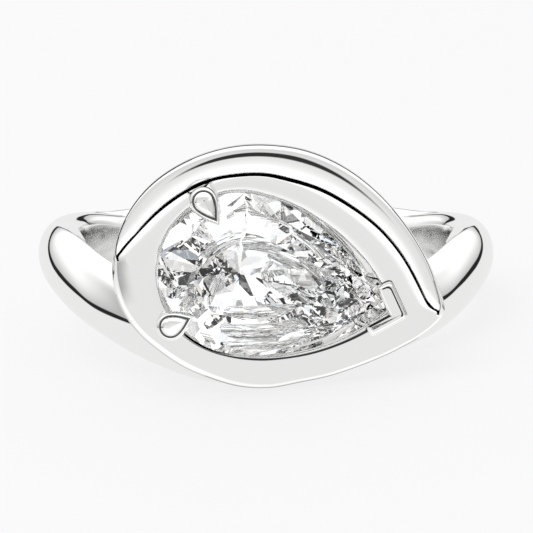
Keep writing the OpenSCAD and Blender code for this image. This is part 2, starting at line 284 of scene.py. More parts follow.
# The metal: the clouds in its polish, its lowest roughness, and how far its colour strays
CLOUDS = {"Scale": 900.0, "Detail": 3.0, "Roughness": 0.6}
STRAYS = {"Scale": 260.0, "Detail": 2.0}
LOW_ROUGHNESS, METAL_STRAY = 0.02, (0.985, 0.983, 0.98)
# Colour and added roughness of a painted dark line, which stands in for dark reflections and shade
LINE_COLOUR, LINE_ROUGHNESS = (0.004, 0.004, 0.004, 1), 0.5
# The stone: its play of colour, painted fire in place of its split of light, and how fine that
# # is, and the grey of its gloss on the outside
STONE_PLAY = [(0, (0.93, 0.96, 1)), (0.5, (1, 1, 1)), (1, (1, 0.97, 0.93))]
PLAY_FINE, STONE_GLOSS = 1400.0, (0.3, 0.3, 0.3, 1)
BLACK, WHITE = (0, 0, 0, 1), (1, 1, 1, 1)

# The studio that the metal mirrors, in greys. Turn goes from 0 in front to 1 behind.
# Height of the table's far edge by turn, as a share of its span, and the span's foot in degrees
TABLE_EDGE = [
    (0, 0.1), (0.4, 0.19), (0.5, 0.14), (0.59, 0.08), (0.64, 0.15), (0.74, 0.24), (0.79, 0.3),
    (0.84, 0.56), (0.92, 0.66), (1, 0.62),
]
TABLE_SPAN, TABLE_FOOT = 50.0, -12.0
# How many degrees higher that edge is on the right
TABLE_TILT = 3.0
# Greys behind and beside, from below to above the table's edge over so many degrees
WALL_SPAN = 80
BEHIND = [
    (0, 0.86), (0.46, 0.86), (0.468, 0.8), (0.474, 0.02), (0.524, 0.02), (0.538, 0.62),
    (0.575, 0.7), (0.625, 0.85), (0.675, 1.0), (0.75, 1.15), (1, 1.25),
]
BESIDE = [
    (0, 0.86), (0.46, 0.86), (0.472, 0.8), (0.478, 0.02), (0.525, 0.02), (0.535, 0.47),
    (0.625, 0.51), (0.71, 0.54), (0.81, 0.58), (0.875, 0.64), (0.95, 0.85), (1, 1.1),
]
# Greys in front, from straight down to straight up
BEFORE = [
    (0, 1.25), (0.389, 1.15), (0.42, 1), (0.46, 0.85), (0.48, 0.825), (0.53, 0.8),
    (0.61, 0.7), (0.66, 0.78), (0.72, 1.15), (1, 1.25),
]
# Where the front gives way to the sides, and the sides to the back, by turn
TO_SIDES = [(0, 0), (0.3, 0), (0.42, 1), (1, 1)]
TO_BACK = [(0, 0), (0.45, 0), (0.5, 0.35), (0.54, 0.6), (0.575, 0.85), (0.62, 1), (1, 1)]
# The dark lens, and for the stone the dark viewer: outer and inner edge round the line of sight in
# degrees, and darkness
LENS, VIEWER = (6.6, 4.6, 0.96), (11, 8, 0.93)
# Small lamps and the gaps between them, which show only through the stone: how fine they are,
# their greys and their colours
LAMPS_FINE = 3.2
LAMP_GREYS = [(0, 0.02), (0.12, 0.05), (0.18, 0.4), (0.3, 0.85), (0.6, 1.15), (1, 1.5)]
LAMP_COLOURS = [
    (0, (0.7, 0.84, 1)), (0.08, (0.9, 0.95, 1)), (0.15, (1, 1, 1)), (0.92, (1, 1, 1)),
    (1, (1, 0.9, 0.78)),
]

# The stage: the soft light's place and size in metres and its power, the floor's own glow, and
# the camera's line of sight, the spot it looks at in mm and its distance in metres
KEY_AT, KEY_SIZE, KEY_POWER = Vector((-0.12, -0.1, 0.3)), 0.3, 0.4
FLOOR_GLOW = 0.755
CAMERA_DOWN = math.radians(3.8)
AHEAD = Vector((0, math.cos(CAMERA_DOWN), -math.sin(CAMERA_DOWN)))
ABOVE = Vector((0, math.sin(CAMERA_DOWN), math.cos(CAMERA_DOWN)))
AIM, CAMERA_AWAY = Vector((0.022, 0, -0.73)), 0.243


def smooth(rows, a, column):
    """One column's values at the angles, on a smooth closed curve through the rows"""
    n = len(rows)
    known = np.array([row[ANGLE] for row in rows], float)
    value = np.array([row[column] for row in rows], float)
    i = np.searchsorted(known, a, side="right") - 1

    def at(k):
        return known[k % n] + 360 * (k // n)

    def slope(k):
        return (value[(k + 1) % n] - value[(k - 1) % n]) / (at(k + 1) - at(k - 1))

    width = at(i + 1) - at(i)
    t = (a - at(i)) / width
    v0, v1 = value[i], value[(i + 1) % n]
    m0, m1 = width * slope(i), width * slope(i + 1)
    return v0 + t * (m0 + t * (3 * (v1 - v0) - 2 * m0 - m1 + t * (2 * (v0 - v1) + m0 + m1)))


def by_angle(a, rows):
    """Values at the angles, on straight lines through the rows"""
    return np.interp(a, *zip(*rows))


def pear_arcs(length, width):
    """Radius of a pear outline's round end, and of the two arcs that meet in its point"""
    r = width / 2
    point = length - r
    return r, (point * point + r * r) / (2 * r)


def pear_radius(a, length, width):
    """Distances from the round end's centre to a pear outline that points to angle 0"""
    r, flank = pear_arcs(length, width)
    off = flank - r
    s, c = np.abs(np.sin(np.radians(a))), np.cos(np.radians(a))
    return np.where(c < 0, r, np.sqrt(np.maximum(flank**2 - (off * c) ** 2, 0)) - off * s)


def around_stone(a, share=1, grow=0.0):
    """Distances to an outline round the stone: a share of its own, and a distance outside that"""
    stone = bpy.context.scene.ring_stone
    return pear_radius(
        a - STONE_TURN, share * stone.length + 2 * grow, share * stone.width + 2 * grow
    )


def head_loop(a, r, h):
    """Points round the head, from their angles, distances and heights above the finger"""
    a = np.radians(a)
    h = np.broadcast_to(h, a.shape)
    return np.stack([STONE_AT[0] + r * np.cos(a), -h, STONE_AT[1] + r * np.sin(a)], axis=1)


def across(angle, distance, height=0):
    """A point of the head from its angle and distance round the stone's round end"""
    a = math.radians(angle)
    return Vector((distance * math.cos(a), distance * math.sin(a), height))


def clear():
    if bpy.context.mode != "OBJECT":
        bpy.ops.object.mode_set(mode="OBJECT")
    bpy.ops.object.select_all(action="DESELECT")


def pick(obj):
    clear()
    obj.select_set(True)
    bpy.context.view_layer.objects.active = obj
    return obj


def loft(name, loops, closed=False, dark=None):
    """A circle moved to the first loop and extruded to each next one. A closed one meets its
    start again, and an open one is filled at both ends. Dark says from a face's loop and its
    place round it how dark a painted reflection line on it is."""
    clear()
    bpy.ops.mesh.primitive_circle_add(vertices=len(loops[0]), radius=1)
    obj = bpy.context.object
    obj.name = name
    bpy.ops.object.mode_set(mode="EDIT")
    bpy.ops.mesh.select_all(action="SELECT")
    if not closed:
        bpy.ops.mesh.edge_face_add()
    mesh = bmesh.from_edit_mesh(obj.data)
    place, turn = mesh.verts.layers.int.new("place"), mesh.verts.layers.int.new("turn")
    for i, v in enumerate(mesh.verts):
        v[place] = i
        v.co = loops[0][i]
    for k, loop in enumerate(loops[1:] + ([loops[0]] if closed else []), 1):
        bpy.ops.mesh.extrude_region()
        mesh = bmesh.from_edit_mesh(obj.data)
        place, turn = mesh.verts.layers.int["place"], mesh.verts.layers.int["turn"]
        for v in mesh.verts:
            if v.select:
                v.co = loop[v[place]]
                v[turn] = k
        bmesh.update_edit_mesh(obj.data)
    # Painted dark reflection lines: the faces that dark picks are given their darkness
    if dark:
        painted_shade_and_reflections = mesh.faces.layers.float.new("painted_shade_and_reflections")
        place, turn = mesh.verts.layers.int["place"], mesh.verts.layers.int["turn"]
        for face in mesh.faces:
            if len(face.verts) == 4:
                spots = [v[place] for v in face.verts]
                spot = min(spots) if max(spots) - min(spots) == 1 else max(spots)
                face[painted_shade_and_reflections] = dark(min(v[turn] for v in face.verts), spot)
        bmesh.update_edit_mesh(obj.data)
    bpy.ops.mesh.select_all(action="SELECT")
    if closed:
        bpy.ops.mesh.remove_doubles(threshold=1e-6)
    bpy.ops.mesh.normals_make_consistent(inside=False)
    bpy.ops.object.mode_set(mode="OBJECT")
    obj.data.attributes.remove(obj.data.attributes["place"])
    obj.data.attributes.remove(obj.data.attributes["turn"])
    return obj


def combine(obj, tool, operation):
    """Joins a second form to the first or cuts it out"""
    pick(obj)
    bpy.ops.object.modifier_add(type="BOOLEAN")
    cut = obj.modifiers[-1]
    cut.operation = operation
    cut.solver = "MANIFOLD"
    cut.object = tool
    bpy.ops.object.modifier_apply(modifier=cut.name)
    bpy.data.objects.remove(tool)
    if not obj.data.polygons:
        raise RuntimeError(f"{obj.name} is empty after a {operation.lower()}")


def finish_piece(obj, node, material):
    """Lays the piece down with the ring, in metres, in place of its CAD node"""
    mesh = bmesh.new()
    mesh.from_mesh(obj.data)
    open_edges = sum(not e.is_manifold for e in mesh.edges)
    mesh.free()
    if open_edges:
        raise RuntimeError(f"{obj.name} has {open_edges} open edges")
    pick(obj)
    obj.matrix_world = LAID @ Matrix.Scale(MM, 4)
    bpy.ops.object.transform_apply(location=True, rotation=True, scale=True)
    obj.data.materials.clear()
    obj.data.materials.append(material)
    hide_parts(node)
    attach(obj, "root")


def ease(start, corner, end, steps):
    """Points of a rounded corner, after its start and up to its end"""
    shares = [k / steps for k in range(1, steps + 1)]
    return [
        tuple(
            (1 - t) ** 2 * p + 2 * t * (1 - t) * q + t * t * r
            for p, q, r in zip(start, corner, end)
        )
        for t in shares
    ]


def outer_curve(end, depth, scale, steps=24):
    """The band's section from its crown to an angle: thickness share, width share"""
    turns = [math.radians(end * k / steps) for k in range(steps + 1)]
    return [(1 - depth * (1 - math.cos(t)), scale * math.sin(t)) for t in turns]


def turned_corner(middle, radii, through, steps):
    """The corner after the outer curve: thickness share, width share"""
    turns = [math.radians(CORNER_START + through * k / steps) for k in range(1, steps + 1)]
    return [(middle[0] + radii[0] * math.cos(t), middle[1] + radii[1] * math.sin(t)) for t in turns]


def half_sections():
    """The band's half sections from crown to finger hole, with as many points each: with a tight
    edge over its outer curve, with a flat top, and rounded right over"""
    outer = outer_curve(*OUTER_CURVE)
    tight = outer + turned_corner(*TIGHT_CORNER)
    tight += ease(tight[-1], TIGHT_BEND, TIGHT_BORE[0], 4) + TIGHT_BORE[1:]
    flat = outer + turned_corner(*FLAT_CORNER) + FLAT_TOP
    rounded = outer_curve(*ROUNDED_CURVE)
    rounded += ease(rounded[-1], ROUNDED_BEND, (0, ROUNDED_BORE), 6)
    rounded += [(0, ROUNDED_BORE * (1 - k / 9)) for k in range(1, 9)]
    return np.array(tight), np.array(flat), np.array(rounded)


def blend_step(a, start, end):
    """0 before the start, 1 after the end, smooth between"""
    t = float(np.interp(a, (start, end), (0, 1)))
    return t * t * (3 - 2 * t)


def shank():
    """The band: its lower half rounded, and its upper half with a tight edge in front, flat at the
    sides and rounded at the back"""
    angles = np.concatenate([
        np.arange(-180, -90, 2.0), np.arange(-90, 90, 1.25), np.arange(90, 180, 2.0)
    ])
    tight, flat, rounded = half_sections()
    middles, halves, thicks = (smooth(BAND_ROWS, angles, k) for k in (MIDDLE, HALF, THICK))
    loops = []
    for a, middle, half, thick in zip(angles, middles, halves, thicks):
        upper = tight + (flat - tight) * blend_step(abs(a), *TIGHT_TO_FLAT)
        upper = upper + (rounded - upper) * blend_step(abs(a), *FLAT_TO_ROUNDED)
        r = BORE_R + thick * np.concatenate([upper[:, 0], [0], rounded[:0:-1, 0]])
        z = middle + half * np.concatenate([upper[:, 1], [0], -rounded[:0:-1, 1]])
        a = math.radians(a)
        loops.append(np.stack([r * math.sin(a), -r * math.cos(a), z], axis=1))
    return loft("shank", loops, closed=True)


def rim_profile(steps=44):
    """Shares of the width and of the height across the raised rim, from its slopes"""
    at, slope = np.array(RIM_SLOPES).T
    bends = [CREVICE, CREVICE + 0.004, *RIM_BENDS]
    x = np.sort(np.concatenate([np.linspace(0, 1, steps), bends]))
    rise = np.tan(np.radians(np.interp((x[1:] + x[:-1]) / 2, at, slope)))
    y = np.concatenate([[0], np.cumsum(rise * np.diff(x))])
    return x, y / y.max()


def edge_loops(a):
    """Radii and heights of the loops from the plate over the raised rim and down its edge"""
    columns = (EDGE, WIDE, HIGH, SHELF, CURVE)
    edge, wide, rim, shelf, curve = (smooth(HEAD_ROWS, a, k) for k in columns)
    rim = np.clip(rim, 0, 1)
    lift = RISE * curve * rim
    height = bpy.context.scene.ring_band.rim_height * rim
    inner = edge - shelf - wide
    for t in (0, 0.2, 0.4, 0.6, 0.8):
        yield inner - curve * (1 - t), FACE_H + lift * t * t
    for x, y in zip(*rim_profile()):
        curved = lift * max(0, 1 - x / CREVICE)
        yield inner + wide * x, FACE_H + curved + (height - curved) * y
    yield edge - shelf, FACE_H
    for x, depth in EDGE_PROFILE:
        yield edge - shelf * x, FACE_H - depth


def head_block():
    """The plate with its raised rim, its wall down to the finger hole, and its well"""
    # Angles are closer together at the rim's two ends
    a = np.concatenate([
        np.arange(-180, -30, 1.0), np.arange(-30, -2, 0.3), np.arange(-2, 150, 1.0),
        np.arange(150, 180, 0.6),
    ])

    def bore_height(r):
        x = STONE_AT[0] + r * np.cos(np.radians(a))
        return np.sqrt((BORE_R + BORE_ROOM) ** 2 - x * x)

    well = [(around_stone(a, share, grow), FACE_H - depth) for depth, share, grow in WELL_ROWS]
    inner, mouth = well[0][0], well[-1][0]
    edge = smooth(HEAD_ROWS, a, EDGE)
    outer = edge - WALL_ROWS[-1][1]
    over = list(edge_loops(a))
    foot = over[0][0]
    # From the wall's foot along the finger hole to the well and up, over the plate and the rim, and
    # down the wall. None as a height is the finger hole's own, which nothing goes below.
    loops = [(outer + (inner - outer) * t, None) for t in (0.33, 0.67, 1)]
    loops += well
    loops += [(mouth + (foot - mouth) * t, FACE_H) for t in (0.3, 0.6)]
    loops += over
    loops += [(edge - inset, FACE_H - depth) for depth, inset in WALL_ROWS]
    loops += [(outer, None)]
    points = []
    for r, h in loops:
        lowest = bore_height(r)
        points.append(head_loop(a, r, lowest if h is None else np.maximum(h, lowest)))
    return loft("head", points, closed=True)


def shade_hollows(obj):
    """Paints dark lines that stand in for deep narrow reflections at the foot of the raised rim,
    down its outside and in the well's mouth, painted soft shades at the plate's edge, and painted
    shade that dulls the finger hole"""
    centres = np.empty(len(obj.data.polygons) * 3)
    obj.data.polygons.foreach_get("center", centres)
    x, h, z = centres[0::3], -centres[1::3], centres[2::3]
    r = np.hypot(x - STONE_AT[0], z - STONE_AT[1])
    a = np.degrees(np.arctan2(z - STONE_AT[1], x - STONE_AT[0]))
    edge, wide, rim, shelf = (smooth(HEAD_ROWS, a, k) for k in (EDGE, WIDE, HIGH, SHELF))
    depth = FACE_H - h
    from_edge = edge - shelf - r
    from_foot = r - (edge - shelf - wide)
    lower_edge = 0.3 * rim * bpy.context.scene.ring_band.rim_height

    # The faces of each coat, by how deep they lie below the plate's face and by their distance
    # from its edges, in mm
    on_rim = (depth < 0.01) & (rim > 0.02) & (from_foot > 0) & (from_foot < wide)
    foot = on_rim & (from_foot < np.maximum(CREVICE * wide, by_angle(a, FOOT_LINE)))
    side = on_rim & (wide - from_foot < 0.05) & (-depth > lower_edge)
    bore = np.hypot(x, h) < BORE_R + 0.05
    plate = (depth < 0.005) & (from_edge > 0)
    end = by_angle(a % 360, END_SHADE) * np.clip(1 - from_edge / END_WIDE, 0, 1) ** END_FADE
    mouth = (depth < 0.3) & (r < around_stone(a, grow=WELL_ROWS[-1][2]))
    bevel = (depth < 0.15) & (from_edge < 0) & (a < -20)
    under = (depth > 0.09) & (depth < 0.2) & (r > edge - 0.06) & (a > -170) & (a < -20)

    # Each coat paints its faces darker: painted reflection lines and painted shade
    dark = np.zeros(len(a))
    for where, shade in (
        (bore, BORE_SHADE),
        (plate, end),
        (mouth, by_angle(a, MOUTH_LINE)),
        (bevel, by_angle(a, BEVEL_SHADE)),
        (under, UNDER_SHADE),
        (side, by_angle(a, SIDE_LINE)),
        (foot, 1),
    ):
        dark = np.where(where, shade, dark)
    obj.data.attributes.new("painted_shade_and_reflections", "FLOAT", "FACE").data.foreach_set("value", dark)


def bulb_middle(claw):
    return across(claw[0], claw[1], GIRDLE_H + BULB_RISE)


def claw_post(claw, grow=0.0):
    """The round post of a claw, from its foot in the head up into the bulb"""
    width = bpy.context.scene.ring_setting.claw_width
    foot = across(claw[0], POST_AT, BORE_R + POST_RISE + width / 4)
    bulb = bulb_middle(claw)
    run = bulb - foot
    clear()
    bpy.ops.mesh.primitive_cylinder_add(
        vertices=40,
        radius=width / 2 + grow,
        depth=run.length + 2 * grow,
        location=HEAD @ ((foot + bulb) / 2),
        rotation=(HEAD.to_3x3() @ run).to_track_quat("Z", "Y").to_euler(),
    )
    post = bpy.context.object
    post.name = "post"
    bpy.ops.object.transform_apply(location=True, rotation=True, scale=True)
    return post


def claw_drop(claw):
    """A drop-shaped claw head: a rounded body drawn out to a point over the stone's edge, with a
    smaller drop raised on it behind a fine groove"""
    bulb = bulb_middle(claw)
    size = bpy.context.scene.ring_setting.bulb_radius
    run = across(claw[2], claw[3], bulb.z) - bulb
    reach, along = run.length + DROP_PAST, run.normalized()
    aside = Vector((-along.y, along.x, 0))
    outline = []
    for a in range(-180, 180, 6):
        if abs(a) >= 90:
            x, y = size * math.cos(math.radians(a)), size * math.sin(math.radians(a))
        else:
            t = 1 - abs(a) / 90
            taper = max(0, 1 - t ** DROP_TAPER[0]) ** DROP_TAPER[1]
            x, y = reach * t, math.copysign(size * taper, a)
        outline.append((x, y))
    loops = []
    for scale, rise in DROP_ROWS:
        loop = []
        for x, y in outline:
            x, y = x * scale, y * scale
            up = Vector((0, 0, rise + DROP_SLOPE * max(0, x)))
            loop.append(HEAD @ (bulb + along * x + aside * y + up))
        loops.append(np.array(loop))
    # The groove's loops get a painted dark reflection line
    return loft("drop", loops, dark=lambda turn, place: PAINTED_GROOVE_LINE if turn in DROP_GROOVE else 0)


def vee_corners(grow, room):
    """Corners of the angled claw seen from the front, round from its outer corner. Grown is wider
    all round, and room is left past the upper arm's end."""
    corner = across(*VEE_AT)
    sides = []
    for (turn, length, side, wide), more in zip(VEE_ARMS, (room, 0)):
        along, inward = across(turn, 1), across(turn + side, 1)
        start = corner - inward * grow
        end = start + along * (length + grow + more)
        sides.append((start, along, end, end + inward * (wide + 2 * grow)))
    (p, d, end1, inner1), (q, e, end2, inner2) = sides

    def meet(a, u, b, v):
        t = ((b - a).x * v.y - (b - a).y * v.x) / (u.x * v.y - u.y * v.x)
        return a + u * t

    return [meet(p, d, q, e), end1, inner1, meet(inner1, d, inner2, e), inner2, end2]


def vee_claw(grow=0.0, room=0.0):
    """The angled claw, leaning in to the rail, with rounded corners and an eased top edge. Grown,
    it is the hole that the claw needs."""
    top = GIRDLE_H + VEE_TOP
    lean = across(180 + STONE_TURN, 1)

    def outline(inset, height, shift=Vector()):
        corners = vee_corners(grow - inset, room)
        points = []
        for k, radius in enumerate(VEE_ROUNDS):
            p, a, b = corners[k], corners[k - 1], corners[(k + 1) % len(corners)]
            start, end = p + (a - p).normalized() * radius, p + (b - p).normalized() * radius
            points += [start] + [Vector(q) for q in ease(start, p, end, 4)]
        return np.array([HEAD @ (q + shift + Vector((0, 0, height))) for q in points])

    loops = [outline(0, BORE_R + VEE_FOOT, lean), outline(0, GIRDLE_H - VEE_BEND)]
    if grow:
        return loft("vee", loops + [outline(0, top + grow)])
    loops += [outline(inset, top - drop) for inset, drop in VEE_EDGE]

    # Painted dark reflection lines along the upper arm and inside the lower arm
    def dark(turn, place):
        lined = any(turn in turns and place in places for turns, places in VEE_LINES)
        return VEE_DARK if lined else 0

    return loft("vee", loops, dark=dark)


def rail():
    """Pear-shaped rail low in the well, which the claws stand on"""
    a = np.arange(-180, 180, 3.0)
    loops = []
    for rise, grow in RAIL_ROWS:
        r = around_stone(a, RAIL_SHARE + RAIL_GROWTH * rise, grow)
        loops.append(head_loop(a, r, BORE_R + rise))
    return loft("rail", loops, closed=True)


def pear_edge(a, length, width):
    """A point of the pear outline at an angle from its point, and the outline's normal there"""
    r, flank = pear_arcs(length, width)
    spot = across(a, float(pear_radius(a, length, width)))
    if abs(math.sin(math.radians(a))) < 1e-6 or math.cos(math.radians(a)) < 0:
        return spot, spot.normalized()
    side = 1 if spot.y > 0 else -1
    return spot, (spot - Vector((0, side * (r - flank), 0))).normalized()


def cut(co, no):
    """Cuts away what lies outside a plane"""
    bpy.ops.mesh.select_all(action="SELECT")
    bpy.ops.mesh.bisect(plane_co=co, plane_no=no, clear_outer=True, use_fill=True, threshold=1e-5)


def cut_stone(name, grow=0.0):
    """A pear-shaped blank, cut facet by facet on its crown and pavilion"""
    stone = bpy.context.scene.ring_stone
    length, width = stone.length + 2 * grow, stone.width + 2 * grow
    top, crown, deep = stone.girdle, stone.crown + grow, stone.pavilion + grow
    clear()
    bpy.ops.mesh.primitive_cylinder_add(vertices=BLANK_SIDES, radius=1, depth=2)
    obj = bpy.context.object
    obj.name = name
    for v in obj.data.vertices:
        a = math.degrees(math.atan2(v.co.y, v.co.x))
        a = math.copysign(180 * (abs(a) / 180) ** BLANK_CROWDING, a)
        r = float(pear_radius(a, length, width))
        v.co = across(a, r, top + crown + 1 if v.co.z > 0 else -deep - 1)
    bpy.ops.object.mode_set(mode="EDIT")
    rise = crown / (1 - stone.table)
    for a in MAIN_FACETS:
        spot, out = pear_edge(a, length, width)
        if a:
            cut(spot, out * deep - Vector((0, 0, (spot - Vector((*CULET, 0))).dot(out))))
        cut(spot + Vector((0, 0, top)), out * rise + Vector((0, 0, spot.dot(out))))
    for a, slope, drop in PAVILION_FACETS:
        spot, out = pear_edge(a, length, width)
        cut(spot - Vector((0, 0, drop)), out * math.tan(math.radians(slope)) - Vector((0, 0, 1)))
    for a in EDGE_FACETS:
        spot, out = pear_edge(a, length, width)
        steep = out * stone.upper_slope * rise
        cut(spot + Vector((0, 0, top)), steep + Vector((0, 0, spot.dot(out))))
    for a in STAR_FACETS:
        spot, out = pear_edge(a, length, width)
        start = spot * (stone.table * STAR_AT) + Vector((0, 0, top + crown))
        cut(start, out * STAR_SLOPE + Vector((0, 0, 1)))
    cut(Vector((0, 0, top + crown)), Vector((0, 0, 1)))
    bpy.ops.mesh.select_all(action="SELECT")
    bpy.ops.mesh.remove_doubles(threshold=1e-3)
    bpy.ops.mesh.convex_hull(use_existing_faces=False, join_triangles=False)
    bpy.ops.mesh.dissolve_limited(angle_limit=math.radians(0.2))
    bpy.ops.mesh.normals_make_consistent(inside=False)
    bpy.ops.object.mode_set(mode="OBJECT")
    turn = Matrix.Rotation(math.radians(STONE_TURN), 4, "Z")
    obj.matrix_world = HEAD @ Matrix.Translation((0, 0, GIRDLE_H)) @ turn
    bpy.ops.object.transform_apply(location=True, rotation=True, scale=True)
    return obj


def node(tree, kind, values=None, **settings):
    """A shader node with its settings, and its inputs set to values or joined to sockets"""
    made = tree.nodes.new(kind)
    for key, value in settings.items():
        setattr(made, key, value)
    for key, value in (values or {}).items():
        if isinstance(value, bpy.types.NodeSocket):
            tree.links.new(value, made.inputs[key])
        else:
            made.inputs[key].default_value = value
    return made


def maths(tree, operation, *values):
    """One Math node and its value"""
    return node(tree, "ShaderNodeMath", dict(enumerate(values)), operation=operation).outputs[0]


def map_range(tree, value, low, high, to_low=0.0, to_high=1.0):
    """A value's place between two limits, brought between two others"""
    limits = {"From Min": low, "From Max": high, "To Min": to_low, "To Max": to_high}
    return node(tree, "ShaderNodeMapRange", {"Value": value, **limits}).outputs[0]


def ramp(tree, value, stops, interpolation="LINEAR"):
    """A colour ramp from positions to greys or colours"""
    made = node(tree, "ShaderNodeValToRGB", {0: value})
    band = made.color_ramp
    band.interpolation = interpolation
    while len(band.elements) < len(stops):
        band.elements.new(1)
    for element, (position, grey) in zip(band.elements, stops):
        element.position = position
        element.color = (grey, grey, grey, 1) if isinstance(grey, (int, float)) else (*grey, 1)
    return made.outputs["Color"]


def blend(tree, factor, a, b):
    """A mix of two colours. Its sockets go by number, because three kinds share their names."""
    return node(tree, "ShaderNodeMix", {0: factor, 6: a, 7: b}, data_type="RGBA").outputs[2]


def new_material(name):
    material = bpy.data.materials.new(name)
    material.use_nodes = True
    tree = material.node_tree
    return material, tree, tree.nodes["Principled BSDF"]


def white_gold():
    """Mirror-polished white metal, with the faint unevenness that polishing leaves, and dark and
    dull where the painted shade and painted dark reflection lines lie, as the attribute says"""
    finish = bpy.context.scene.ring_finish
    material, tree, shader = new_material("Polished white gold")
    place = node(tree, "ShaderNodeTexCoord").outputs["Object"]
    painted_shade_and_reflections = node(tree, "ShaderNodeAttribute", attribute_name="painted_shade_and_reflections").outputs["Fac"]
    clouds = node(tree, "ShaderNodeTexNoise", {"Vector": place, **CLOUDS}).outputs[0]
    rough = map_range(tree, clouds, 0.3, 0.7, LOW_ROUGHNESS, finish.metal_roughness)
    rough = maths(tree, "MULTIPLY_ADD", painted_shade_and_reflections, LINE_ROUGHNESS, rough)
    strays = node(tree, "ShaderNodeTexNoise", {"Vector": place, **STRAYS}).outputs[0]
    light = finish.metal_colour
    strayed = [level * share for level, share in zip(light, METAL_STRAY)]
    shade = blend(tree, strays, (*light, 1), (*strayed, 1))
    # Painted shade and painted reflection lines: there the metal is painted near black, rougher and
    # without its reflection tint
    shade = blend(tree, painted_shade_and_reflections, shade, LINE_COLOUR)
    tree.links.new(shade, shader.inputs["Base Color"])
    tree.links.new(blend(tree, painted_shade_and_reflections, WHITE, BLACK), shader.inputs["Specular Tint"])
    tree.links.new(rough, shader.inputs["Roughness"])
    shader.inputs["Metallic"].default_value = 1
    return material


def clear_stone():
    """Clear cut stone, with a faint warm and cool play from place to place, painted fire in place
    of its split of light
    """
    finish = bpy.context.scene.ring_finish
    material, tree, shader = new_material("Clear moissanite")
    place = node(tree, "ShaderNodeTexCoord").outputs["Object"]
    cells = node(tree, "ShaderNodeTexVoronoi", {"Vector": place, "Scale": PLAY_FINE})
    play = ramp(tree, cells.outputs["Color"], STONE_PLAY)
    tree.links.new(play, shader.inputs["Base Color"])
    shader.inputs["Roughness"].default_value = 0
    shader.inputs["IOR"].default_value = finish.stone_ior
    shader.inputs["Transmission Weight"].default_value = 1
    inside = node(tree, "ShaderNodeNewGeometry").outputs["Backfacing"]
    tree.links.new(blend(tree, inside, STONE_GLOSS, WHITE), shader.inputs["Specular Tint"])
    return material


def studio_world():
    """The soft studio round the ring, by direction: a pale table below a dark line, light walls
    and the dark lens, and small lamps for the stone"""
    world = bpy.data.worlds.new("Soft studio")
    bpy.context.scene.world = world
    world.use_nodes = True
    tree = world.node_tree
    background = tree.nodes["Background"]
    way = node(tree, "ShaderNodeTexCoord").outputs["Generated"]

    def along(x, y, z):
        """How far the direction points along an axis of the upright ring, from -1 to 1"""
        axis = LAID.to_3x3() @ Vector((x, y, z))
        dot = node(tree, "ShaderNodeVectorMath", {0: way, 1: axis}, operation="DOT_PRODUCT")
        return dot.outputs["Value"]

    def mix(factor, a, b):
        return node(tree, "ShaderNodeMix", {0: factor, 2: a, 3: b}, data_type="FLOAT").outputs[0]

    def darkened(level, outer, inner, darkness):
        """A level made darker towards the line of sight, within edges in degrees round it"""
        edges = (math.cos(math.radians(edge)) for edge in (outer, inner))
        inside = map_range(tree, facing, *edges)
        return maths(tree, "MULTIPLY", level, maths(tree, "MULTIPLY_ADD", inside, -darkness, 1.0))

    right, back, up, facing = along(1, 0, 0), along(0, 1, 0), along(0, 0, 1), along(*-AHEAD)
    height = maths(tree, "MULTIPLY", maths(tree, "ARCSINE", up), 180 / math.pi)
    front = maths(tree, "MULTIPLY", back, -1.0)
    turn = maths(tree, "ARCTAN2", maths(tree, "ABSOLUTE", right), front)
    turn = maths(tree, "DIVIDE", turn, math.pi)

    # Up from the table's far edge, which is a little higher on the right
    line = ramp(tree, turn, TABLE_EDGE, "B_SPLINE")
    line = maths(tree, "MULTIPLY_ADD", line, TABLE_SPAN, TABLE_FOOT)
    line = maths(tree, "MULTIPLY_ADD", right, TABLE_TILT, line)
    over = maths(tree, "SUBTRACT", height, line)
    over = maths(tree, "MULTIPLY_ADD", over, 1 / WALL_SPAN, 0.5)
    upwards = map_range(tree, height, -90.0, 90.0)
    walls = mix(ramp(tree, turn, TO_BACK), ramp(tree, over, BESIDE), ramp(tree, over, BEHIND))
    walls = mix(ramp(tree, turn, TO_SIDES), ramp(tree, upwards, BEFORE), walls)
    studio = darkened(walls, *LENS)

    lamps = node(tree, "ShaderNodeTexVoronoi", {"Vector": way, "Scale": LAMPS_FINE})
    lamps = node(tree, "ShaderNodeSeparateColor", {0: lamps.outputs["Color"]})
    spark = darkened(ramp(tree, lamps.outputs[0], LAMP_GREYS), *VIEWER)
    fire = ramp(tree, lamps.outputs[1], LAMP_COLOURS)

    path = node(tree, "ShaderNodeLightPath")
    through = path.outputs["Is Transmission Ray"]
    level = mix(through, mix(path.outputs["Is Glossy Ray"], 1.0, studio), spark)
    tree.links.new(level, background.inputs["Strength"])
    tree.links.new(blend(tree, through, WHITE, fire), background.inputs["Color"])


class RingBand(bpy.types.PropertyGroup):
    rim_height: FloatProperty(
        name="Rim height",
        description="Height of the raised rim above the plate, in mm",
        default=0.6, min=0.1, max=1.0,
    )


class RingSetting(bpy.types.PropertyGroup):
    claw_width: FloatProperty(
        name="Post width",
        description="Thickness of the round claws' posts, in mm",
        default=0.9,
    )
    bulb_radius: FloatProperty(
        name="Bulb radius",
        description="Radius of the round claws' bulbs, in mm",
        default=0.62,
    )
    gap: FloatProperty(
        name="Clearance",
        description="Clearance between the pieces, in mm",
        default=0.06,
    )


